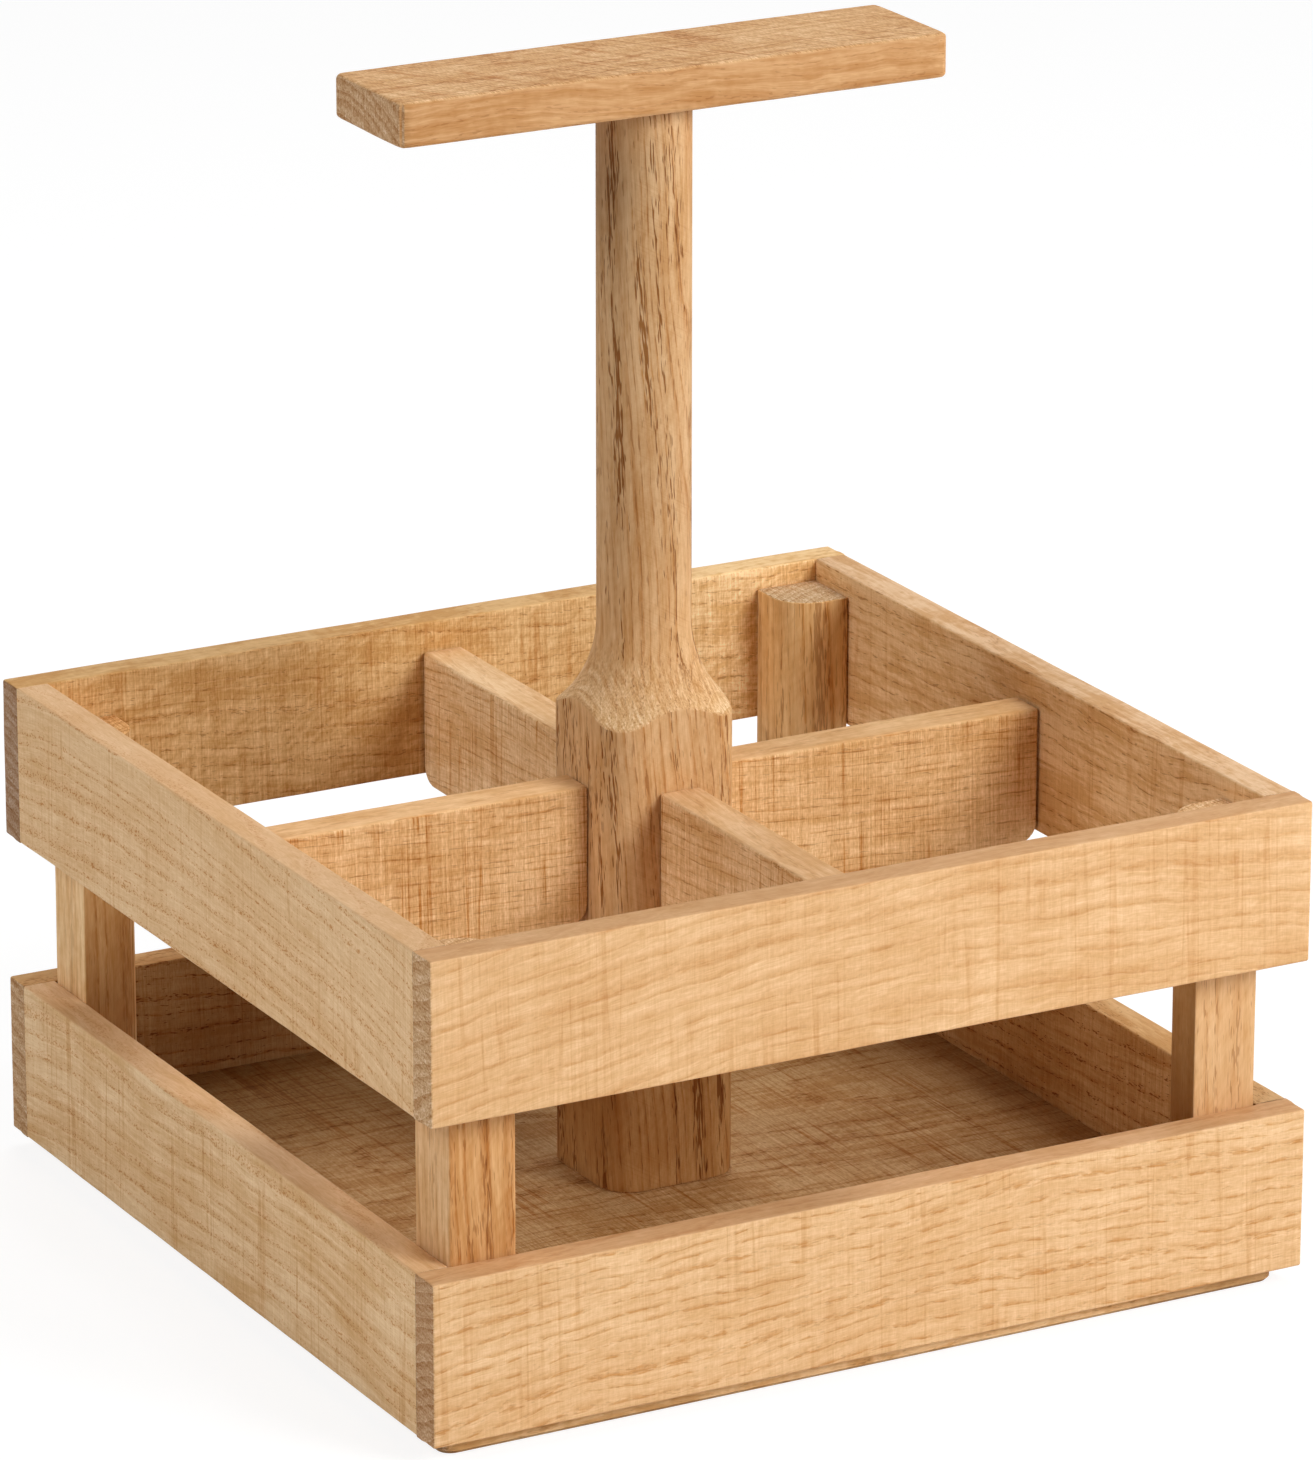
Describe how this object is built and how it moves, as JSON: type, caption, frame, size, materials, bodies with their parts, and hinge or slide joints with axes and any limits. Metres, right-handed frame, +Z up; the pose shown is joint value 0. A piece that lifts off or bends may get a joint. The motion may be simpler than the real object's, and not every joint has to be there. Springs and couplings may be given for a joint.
{
  "type": "table caddy",
  "caption": "Open oak caddy for cruets and table things: two rings of slats on corner posts, a base board, dividers round a turned centre post, and a bar handle on top.",
  "frame": {"origin": "middle of the crate's length and width, on the surface that it stands on", "axes": "+X to the right along the front slats and the handle bar, +Y to the back, +Z up along the centre post"},
  "size_m": [0.215, 0.213, 0.2685],
  "materials": {
    "oak_slat": "band-sawn oak with a matt oil finish, eased edges",
    "oak_post": "straight-grained oak with long open pores, sanded and oiled matt",
    "oak_divider": "band-sawn oak with strong cross saw marks, oiled matt",
    "oak_board": "oak board with grain from left to right, oiled matt",
    "oak_handle": "oak bar, sawn on top and sanded on its sides, oiled matt",
    "beech_dowel": "plain beech dowel, glued",
    "steel_screw": "zinc-plated steel"
  },
  "bodies": {
    "root": {"lower_front_slat": "oak_slat", "lower_back_slat": "oak_slat", "lower_left_slat": "oak_slat", "lower_right_slat": "oak_slat", "upper_front_slat": "oak_slat", "upper_back_slat": "oak_slat", "upper_left_slat": "oak_slat", "upper_right_slat": "oak_slat", "corner_post_front_left": "oak_post", "corner_post_front_right": "oak_post", "corner_post_back_right": "oak_post", "corner_post_back_left": "oak_post", "divider_right": "oak_divider", "divider_back": "oak_divider", "divider_left": "oak_divider", "divider_front": "oak_divider", "base_board": "oak_board", "centre_post": "oak_post", "handle_bar": "oak_handle", "handle_dowel": "beech_dowel", "divider_post_dowels": "beech_dowel", "divider_slat_dowels": "beech_dowel", "post_screws": "steel_screw"}
  },
  "joints": []
}
